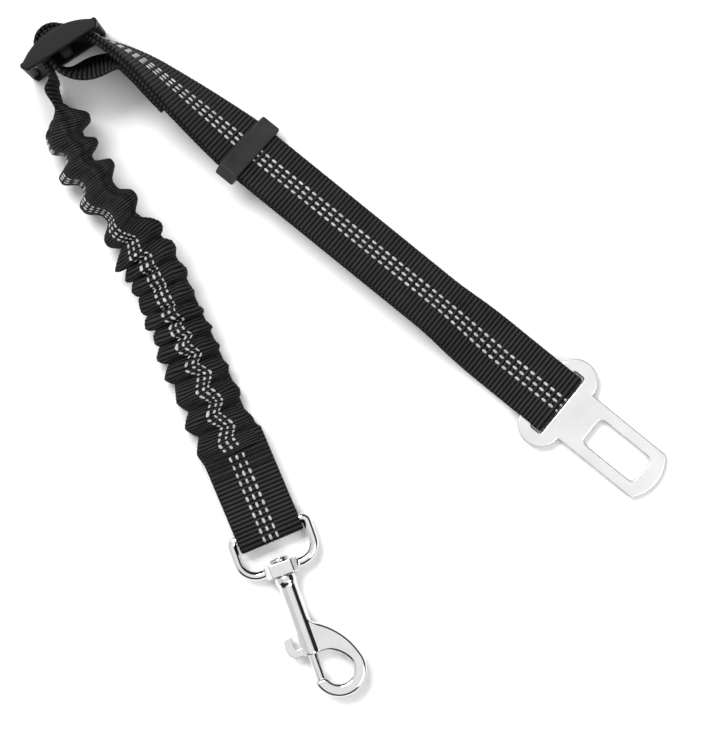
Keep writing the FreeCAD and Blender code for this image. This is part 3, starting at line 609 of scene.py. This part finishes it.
c, w, n, u = loop_frames()
even = spaced(0.0, u[-1], 0.27)
c, w, n = (np.stack([np.interp(even, u, a[:, k]) for k in range(3)], 1) for a in (c, w, n))
w = w / np.linalg.norm(w, axis=1)[:, None]
n = n / np.linalg.norm(n, axis=1)[:, None]
done(strip("adjuster_loop_cloth", c, w, n, even, WEBBING), "strap", "webbing", "adjuster_loop")


def stitch_rows(name, points_at, u_rows, half_width, pitch=1.15, slant=0.9):
    """Zigzag bartack: short thread stitches side by side across the webbing."""
    spots, faces = [], []
    for u0 in u_rows:
        v = -half_width
        flip = 1
        while v < half_width:
            base = len(spots)
            pillow(0.0, 0.0, 2.1, 0.5, 0.3, spots, faces, (6, 5))
            for i in range(base, len(spots)):
                du, dv, h = spots[i]
                spots[i] = (u0 + du, v + dv + flip * slant * du * 0.3, h)
            v += pitch * 0.5
            flip = -flip
    spots = np.array(spots)
    return new_mesh(name, points_at(spots[:, 0], spots[:, 1], spots[:, 2]), faces, THREAD, spots[:, :2])


def tail_point(u, v, h):
    centre, across, normal = path_frames(u, -1.0)
    return centre + across * v[:, None] - normal * (TAIL_SPACING + STITCH_BASE + h)[:, None]


piece = stitch_rows("loop_stitches", tail_point, (188.0, 190.2, 195.0, 197.2, 201.0), 10.5)
done(piece, "strap", "thread", "loop_bartack")

# ---- neck and cuff ------------------------------------------------------------------------

s = spaced(NECK_START, NECK_START + NECK_LENGTH - 2.0)
curl = 3.0 * smooth(s - NECK_START, NECK_LEVEL + 1.0, 15.0) - 1.8 * smooth(s - NECK_START, 15.0, 22.0)
piece = strip("neck_cloth", *path_frames(s, 1.0), s, WEBBING, cup=curl)
done(piece, None, "webbing", "webbing_neck")


def path_point(s):
    c, _, _ = path_frames(np.array([s]))
    return ((c[0] - ORIGIN) / 1000.0).tolist()


near, far = path_point(NECK_START + 2.0), path_point(NECK_START + NECK_LENGTH - 1.0)
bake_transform(piece)

# ---- gathered sleeve ----------------------------------------------------------------------

# The sides gather independently: broad ruffles first, then tight gathers that widen to the tab.
CUFF_STATION, CUFF_HALF_WIDTH = 19.0, 2.2
RUFFLE_PITCH, GATHER_PITCH, LATE_PITCH = 13.0, 7.0, 12.0
RUFFLE_START, RUFFLE_END, LATE_START = 27.0, 72.0, 110.0
PITCH_SPREAD = 0.22             # how unevenly the folds follow each other
TAB_HALF_WIDTH = 12.3
GATHER = 1.75                   # cloth length per length of sleeve
FLAT_WIDTH, FLAT_DEPTH = 11.4, 4.3
SLEEVE_START, SLEEVE_STOP = NECK_START + 20.5, NECK_START + SLEEVE_END + 4.0


def fold_marks(first, ruffle, gather):
    """Valleys and crests in turn down one side: (distance from the slider's bar, half width).

    ruffle and gather are the (valley, crest) half widths of the broad and the tight folds.
    """
    marks = [(CUFF_STATION, CUFF_HALF_WIDTH)]
    b = first
    while b < SLEEVE_END:
        tight = float(smooth(b, RUFFLE_END - 10.0, RUFFLE_END + 8.0))
        late = float(smooth(b, LATE_START, SLEEVE_END))
        pitch = RUFFLE_PITCH + (GATHER_PITCH - RUFFLE_PITCH) * tight + (LATE_PITCH - GATHER_PITCH) * late
        pitch *= RNG.uniform(1.0 - PITCH_SPREAD, 1.0 + PITCH_SPREAD)
        valley, crest = (wide + (close - wide) * tight for wide, close in zip(ruffle, gather))
        marks.append((b, crest + RNG.uniform(-0.8, 0.8)))
        marks.append((b + pitch * RNG.uniform(0.42, 0.58), valley + RNG.uniform(-0.6, 0.6)))
        b += pitch
    marks[-1] = (marks[-1][0], TAB_HALF_WIDTH)
    return marks + [(SLEEVE_END + 15.0, TAB_HALF_WIDTH)]


EAST_FOLDS = fold_marks(RUFFLE_START, (5.6, 9.9), (8.3, 10.1))
WEST_FOLDS = fold_marks(RUFFLE_START + RUFFLE_PITCH / 2, (5.0, 9.5), (10.7, 12.7))


def fold_profile(b, marks):
    """Half width, bump (0 in a valley, 1 on a crest) and fold phase (whole on a crest) at b."""
    stations, widths = (np.array(column) for column in zip(*marks))
    t = np.interp(b, stations, np.arange(len(stations)))
    k = np.minimum(np.floor(t).astype(int), len(stations) - 2)
    away = np.where(k % 2 == 0, 1.0 - (t - k), t - k)
    crest = np.where(k % 2 == 0, widths[k + 1], widths[k])
    valley = np.where(k % 2 == 0, widths[k], widths[k + 1])
    ruffle = smooth(smooth(1.0 - away, 0.0, 1.0), 0.0, 1.0)
    lobe = 1.0 - away ** 1.35
    bump = lobe + (ruffle - lobe) * (1.0 - smooth(b, 62.0, 80.0))
    return valley + (crest - valley) * bump, bump, (t - 1.0) / 2.0


def section_angle(across):
    """Angle round the section whose point lies at across, -1 to 1, of the face."""
    return np.arccos(np.clip(np.sign(across) * np.abs(across) ** (1.0 / 0.62), -1.0, 1.0))


def sleeve_state(s, angle):
    """Rolled flat section, which side a point is on, and the folds there."""
    b = s - NECK_START
    roll = np.radians(roll_at(s))
    x = FLAT_WIDTH * np.sign(np.cos(angle)) * np.abs(np.cos(angle)) ** 0.62
    z = FLAT_DEPTH * np.sign(np.sin(angle)) * np.abs(np.sin(angle)) ** 0.7
    lateral = x * np.cos(roll) - z * np.sin(roll)
    up = x * np.sin(roll) + z * np.cos(roll)
    reach = np.sqrt((FLAT_WIDTH * np.cos(roll)) ** 2 + (FLAT_DEPTH * np.sin(roll)) ** 2)
    reach = reach + 0.9 * np.sin(2 * roll)
    east_w, east_bump, east_phase = fold_profile(b, EAST_FOLDS)
    west_w, west_bump, west_phase = fold_profile(b, WEST_FOLDS)
    side = smooth(lateral / reach, -0.38, 0.42)
    bump = side * east_bump + (1 - side) * west_bump
    turn = side * np.sin(2 * math.pi * east_phase) + (1 - side) * np.sin(2 * math.pi * west_phase)
    width = np.where(lateral > 0, east_w, west_w)
    return roll, lateral, up, width / reach, bump, turn, east_bump - west_bump


def cloth_length(s, angle):
    """Distance along the gathered cloth: more of it on a fold's flanks."""
    turn = sleeve_state(s, angle)[5]
    return GATHER * s - 0.3 * turn + 0.22 * np.sin(5.0 * np.cos(angle) + 0.9 * s)


def sleeve_point(s, angle, extra):
    """The sleeve's surface at distance s and angle round it, pushed outward by extra."""
    roll, lateral, up, scale, bump, turn, sway = sleeve_state(s, angle)
    gathered = 1.0 - smooth(s - NECK_START, 158.0, 168.0)
    low = smooth(s - NECK_START, 62.0, 80.0)
    points, headings = plan(s + (0.45 * turn + 1.3 * (bump - 0.5)) * gathered * low)
    left = np.stack([-np.sin(headings), np.cos(headings)], 1)
    flat = np.cos(roll) ** 2
    side = np.minimum(np.abs(lateral * scale) / 9.0, 1.0)
    pocket = 0.5 + 0.8 * np.exp(-((np.abs(lateral) - 4.6) / 3.0) ** 2)
    relief = (bump - 0.45) * (2.5 * low * pocket + 2.2 * (1 - low) * (0.2 + 0.8 * side)) * gathered
    crease = np.sin(2.1 * s + 0.35 * lateral) + np.sin(1.27 * s - 0.5 * lateral + 1.0)
    relief = relief + 0.2 * crease * gathered
    crown = 1.0 - 0.55 * np.abs(lateral * scale / 11.0) ** 3
    start = smooth(s - NECK_START, 20.0, 28.0)
    height = height_at(s)
    tall = np.where(up > 0, 1.0, 1.0 - 0.28 * start)
    off_edge = np.sign(up) * np.minimum(np.abs(up) / 2.0, 1.0)
    rise = up * tall * (1.12 - 0.12 * start) + off_edge * relief * crown
    lean = np.arctan2(up, lateral)
    drift = 1.5 * sway * gathered * flat * np.minimum(np.abs(up) / 3.0, 1.0)
    out = lateral * scale + extra * np.cos(lean) + drift
    p = np.column_stack([points + left * out[:, None], height + rise + extra * np.sin(lean)])
    p[:, 2] = np.maximum(p[:, 2], 0.2 + 0.3 * extra)
    return p


def build_sleeve(rows=1250, cols=88):
    s = np.repeat(np.linspace(SLEEVE_START, SLEEVE_STOP, rows), cols)
    angle = np.tile(np.linspace(0, 2 * math.pi, cols, endpoint=False) + math.pi / cols, rows)
    u = cloth_length(s, angle)
    pts = sleeve_point(s, angle, (rib_height(u) - 0.6) * 0.24)
    v = np.where(angle < math.pi, -np.cos(angle) * 12.5, 40 + np.cos(angle) * 12.5)
    return new_mesh("sleeve_cloth", pts, tube_faces(rows, cols), SLEEVE, np.stack([u, v], 1))


def stretch_ends():
    return path_point(NECK_START + NECK_LENGTH + JOIN_LENGTH), path_point(NECK_START + SLEEVE_END - 2.0)


sleeve = build_sleeve()
done(sleeve, None, "sleeve_cloth", "bungee_sleeve", "sleeve_join")
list(stretch_ends())
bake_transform(sleeve)


def sleeve_yarn_point(u, v, h):
    """Place on the sleeve's face of cloth coordinates u, v; the length is found by repeated steps."""
    angle = section_angle(v / 12.0)
    s = u / GATHER
    for _ in range(30):
        s = s + 0.7 * (u - cloth_length(s, angle)) / GATHER
    return sleeve_point(s, angle, 0.08 + h)


span = GATHER * (SLEEVE_START + 6.0), GATHER * SLEEVE_STOP - 1.0
piece = dashes("sleeve_yarn", sleeve_yarn_point, span, YARN, jitter=0.22)
done(piece, None, "reflective_yarn", "sleeve_reflective_yarns")
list(stretch_ends())
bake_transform(piece)


def join_point(u, v, h):
    return sleeve_point(u, section_angle(v / 12.0), 0.25 + h)


piece = stitch_rows("join_stitches", join_point, [NECK_START + NECK_LENGTH + d for d in (2.0, 5.0)], 8.0)
done(piece, "bungee_top", "thread", "sleeve_join_bartack")

s = spaced(NECK_START + NECK_LENGTH + JOIN_LENGTH, NECK_START + ELASTIC_END, 0.4)
piece = strip("elastic_band", *path_frames(s, 0.0), s * 1.4, ELASTIC, 19.0, 2.5)
done(piece, None, "elastic", "elastic_core")
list(stretch_ends())
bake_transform(piece)

# ---- end tab ------------------------------------------------------------------------------

tab_points, tab_headings = plan([PATH_END])
tab_origin = np.array([tab_points[0][0], tab_points[0][1], 0.0])
TAB_HEADING = math.degrees(tab_headings[0])
TAB_LENGTH = PATH_END - NECK_START - SLEEVE_END


def tab_squeeze(along):
    """The two layers close up towards the elastic's end."""
    back = -along
    k = smooth(back, 8.0, 18.0)
    return 1.0 + ((TAB_NARROW + WEBBING_THICKNESS / 2) / TAB_HALF - 1.0) * k


quarter_tab = math.pi * TAB_HALF / 2
tab_arm = TAB_LENGTH - (TAB_HALF + WEBBING_THICKNESS / 2) + 1.5
t = spaced(-tab_arm - quarter_tab, tab_arm + quarter_tab, 0.25)


def tab_frames(t):
    return fold_frames(t, tab_origin, TAB_HEADING, TAB_HALF, -WEBBING_THICKNESS / 2, SNAP_HEIGHT, tab_squeeze)


done(strip("end_tab_cloth", *tab_frames(t), t + 90.0, WEBBING), "bungee_end", "webbing", "end_tab")


def tab_point(u, v, h):
    c, w, n = tab_frames(u - 90.0)
    return c - w * v[:, None] + n * (STITCH_BASE + h)[:, None]


piece = dashes("end_tab_yarn", tab_point, (90.0 + t[0], 90.0 + quarter_tab * 1.2), YARN, jitter=0.1)
done(piece, "bungee_end", "reflective_yarn", "tab_reflective_yarns")
start = 90.0 + t[0]
piece = stitch_rows("end_tab_stitches", tab_point, [start + d for d in (3.4, 5.6, 8.0, 10.2, 12.6)], 11.3)
done(piece, "bungee_end", "thread", "end_tab_bartack")

# ---- cast and moulded parts ---------------------------------------------------------------


def cast_copy(node, body, finish, slot, voxel, passes):
    """The CAD part with its hard edges rounded, as a casting or moulding has them."""
    source = frame["nodes"][node]
    obj = bpy.data.objects.new(f"{node}_cast", source.data.copy())
    obj.matrix_world = source.matrix_world.copy()
    bpy.context.scene.collection.objects.link(obj)
    remesh = obj.modifiers.new("remesh", "REMESH")
    remesh.mode = "VOXEL"
    remesh.voxel_size = voxel
    soften = obj.modifiers.new("soften", "SMOOTH")
    soften.factor = 0.5
    soften.iterations = passes
    bpy.context.view_layer.update()
    shape = obj.evaluated_get(bpy.context.evaluated_depsgraph_get())
    mesh = bpy.data.meshes.new_from_object(shape)
    obj.modifiers.clear()
    obj.data = mesh
    mesh.polygons.foreach_set("use_smooth", [True] * len(mesh.polygons))
    mesh.materials.clear()
    mesh.materials.append(finish)
    done(obj, body, slot, node)


cast_copy("snap_body", "snap", CHROME, "chrome_plate", 0.0002, 60)
cast_copy("snap_bolt", "bolt", CHROME, "chrome_plate", 0.00014, 24)
cast_copy("swivel_eye", "swivel_eye", CHROME, "chrome_plate", 0.00018, 30)
cast_copy("swivel_rivet", "snap", RIVET_STEEL, "chrome_plate", 0.0001, 6)
cast_copy("slider_frame", "slider", SLIDER_PLASTIC, "black_plastic", 0.00022, 8)
cast_copy("tongue_plate", "tongue", TONGUE_STEEL, "tongue_steel", 0.00017, 5)

keeper = frame["nodes"]["keeper_ring"]
keeper.data.materials.clear()
keeper.data.materials.append(KEEPER_PLASTIC)


def world_points(obj):
    place = np.array(obj.matrix_world)
    points = np.empty(len(obj.data.vertices) * 3)
    obj.data.vertices.foreach_get("co", points)
    return points.reshape(-1, 3) @ place[:3, :3].T + place[:3, 3]


def build_spring():
    """The coil between the snap's socket and the bolt, copied unchanged from its CAD part."""
    source = frame["nodes"]["bolt_spring"]
    points = world_points(source)
    centre = points.mean(axis=0)
    axis = np.linalg.svd(points - centre, full_matrices=False)[2][0]
    bolt = world_points(frame["nodes"]["snap_bolt"]).mean(axis=0)
    axis = axis * np.sign(axis @ (bolt - centre))
    mesh = bpy.data.meshes.new("spring_coil")
    mesh.from_pydata(points.tolist(), [], [tuple(face.vertices) for face in source.data.polygons])
    mesh.materials.append(SPRING_STEEL)
    mesh.polygons.foreach_set("use_smooth", [True] * len(mesh.polygons))
    coil = bpy.data.objects.new("spring_coil", mesh)
    bpy.context.scene.collection.objects.link(coil)
    done(coil, None, "spring_steel", "bolt_spring")
    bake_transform(coil)


build_spring()

# ---- floor, light, camera -----------------------------------------------------------------


def floor_material():
    m, tree = material("floor")
    n = Nodes(tree)
    where = n.add("ShaderNodeTexCoord")
    broad = n.noise(3.0, 2.0, 0.5, (where, "Object"))
    n.link(*n.ramp(broad, ((0.3, (0.93, 0.93, 0.93)), (0.7, (0.97, 0.97, 0.97)))), n.bsdf, "Base Color")
    n.set(Roughness=0.9, Specular_IOR_Level=0.1)
    return m


bpy.ops.mesh.primitive_plane_add(size=8.0, location=(0, 0, -0.0005))
floor = bpy.context.object
floor.name = "floor"
floor.data.materials.append(floor_material())


def softbox(name, place, target, size, power):
    light = bpy.data.lights.new(name, "AREA")
    light.shape = "RECTANGLE"
    light.size, light.size_y = size
    light.energy = power
    obj = bpy.data.objects.new(name, light)
    bpy.context.scene.collection.objects.link(obj)
    obj.location = place
    obj.rotation_euler = (Vector(target) - Vector(place)).to_track_quat("-Z", "Y").to_euler()
    return obj


softbox("key", (-0.55, 0.75, 1.3), (0, 0, 0), (0.8, 0.5), 21.0)
softbox("fill", (0.9, -0.6, 1.1), (0, 0, 0), (0.7, 0.7), 9.0)


def studio_world():
    """White studio overhead, a dark room round it and a window on one side, seen in the metal."""
    world = bpy.data.worlds.new("studio")
    bpy.context.scene.world = world
    world.use_nodes = True
    tree = world.node_tree
    background = tree.nodes["Background"]
    where = tree.nodes.new("ShaderNodeTexCoord")
    split = tree.nodes.new("ShaderNodeSeparateXYZ")
    tree.links.new(where.outputs["Generated"], split.inputs["Vector"])

    def band(source, stops):
        node = tree.nodes.new("ShaderNodeValToRGB")
        tree.links.new(source, node.inputs["Fac"])
        while len(node.color_ramp.elements) < len(stops):
            node.color_ramp.elements.new(0.5)
        for element, (at, tone) in zip(node.color_ramp.elements, stops):
            element.position = at
            element.color = (tone, tone, tone, 1.0)
        return node.outputs["Color"]

    floor_to_sky = ((0.0, 0.9), (0.07, 0.7), (0.12, 0.03), (0.74, 0.02), (0.82, 0.75), (0.9, 1.0))
    room = band(split.outputs["Z"], floor_to_sky)
    window = tree.nodes.new("ShaderNodeVectorMath")
    window.operation = "DOT_PRODUCT"
    window.inputs[1].default_value = (-0.93, 0.15, 0.3)
    tree.links.new(where.outputs["Generated"], window.inputs[0])
    side = band(window.outputs["Value"], ((0.0, 0.0), (0.62, 0.0), (0.72, 0.8), (1.0, 0.8)))
    mix = tree.nodes.new("ShaderNodeMix")
    mix.data_type = "RGBA"
    mix.blend_type = "LIGHTEN"
    colours = [socket for socket in mix.inputs if socket.type == "RGBA"]
    mix.inputs[0].default_value = 1.0
    tree.links.new(room, colours[0])
    tree.links.new(side, colours[1])
    mixed = next(socket for socket in mix.outputs if socket.type == "RGBA")
    tree.links.new(mixed, background.inputs["Color"])
    background.inputs["Strength"].default_value = 1.0


studio_world()

VIEWPOINT = np.array([3.2, -4.7, 900.0])     # straight above the leash, in millimetres
camera = bpy.data.cameras.new("camera")
camera.lens = 116.2
camera.sensor_width = 36.0
cam = bpy.data.objects.new("camera", camera)
bpy.context.scene.collection.objects.link(cam)
cam.location = ((VIEWPOINT - ORIGIN) / 1000.0).tolist()
bpy.context.scene.camera = cam

bpy.context.scene.view_settings.view_transform = "Standard"
